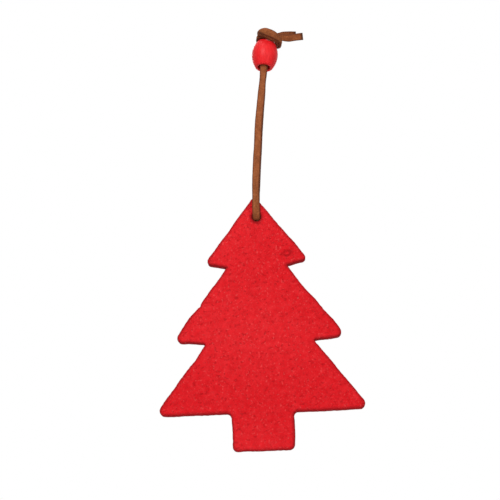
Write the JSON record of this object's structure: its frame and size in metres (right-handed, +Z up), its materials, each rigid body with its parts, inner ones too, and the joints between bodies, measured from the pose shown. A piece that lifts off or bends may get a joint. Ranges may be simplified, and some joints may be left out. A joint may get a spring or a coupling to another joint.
{
  "type": "felt christmas tree ornament",
  "caption": "Flat die-cut felt Christmas tree hanging on a doubled suede lace, with a sliding wooden bead under an overhand knot.",
  "frame": {"origin": "where the ornament hangs: between the two strands of the lace, just under the bead", "axes": "+Z up, -Y out of the felt's front face, +X to the right seen from the front"},
  "size_m": [0.0794, 0.0197, 0.1807],
  "materials": {
    "felt": "thick pressed red felt, matte, slightly mottled",
    "suede_lace": "brown suede, matte nap, darker cut edges",
    "painted_bead": "turned wood, red satin paint"
  },
  "bodies": {
    "lace": {"lace_loop": "suede_lace", "lace_knot_short_end": "suede_lace", "lace_knot_long_end": "suede_lace"},
    "tree": {"felt_tree": "felt"},
    "bead": {"bead": "painted_bead"}
  },
  "joints": [
    {"name": "tree_swing", "type": "hinge", "parent": "lace", "child": "tree", "pos_m": [-0.00516, -0.0085, -0.0685], "axis": [0, 1, 0], "range_deg": [-90, 90]},
    {"name": "bead_slide", "type": "slide", "parent": "lace", "child": "bead", "axis": [-0.1054, -0.1384, -0.9848], "range_m": [0, 0.036]}
  ]
}
